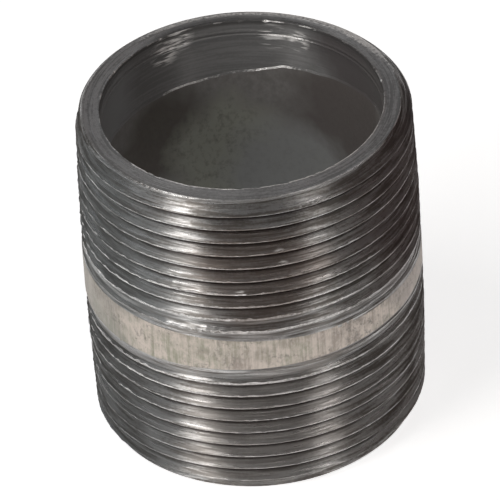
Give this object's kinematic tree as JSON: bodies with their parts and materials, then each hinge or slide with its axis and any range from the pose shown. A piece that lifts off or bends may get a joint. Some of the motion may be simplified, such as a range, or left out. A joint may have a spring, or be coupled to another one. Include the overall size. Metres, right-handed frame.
{
  "type": "threaded pipe nipple",
  "caption": "Short straight steel pipe nipple with a male taper pipe thread on each end, a plain band between the threads and a bore that runs right through.",
  "frame": {"origin": "centre of the lower end face, on the pipe's axis", "axes": "+Z along the pipe's axis, from the lower end face to the upper one; X and Y square to it"},
  "size_m": [0.0482, 0.0482, 0.0508],
  "materials": {
    "steel": "die-cut dark steel threads with fine tool marks, and a pale weathered zinc band between them"
  },
  "bodies": {
    "root": {"nipple": "steel"}
  },
  "joints": []
}
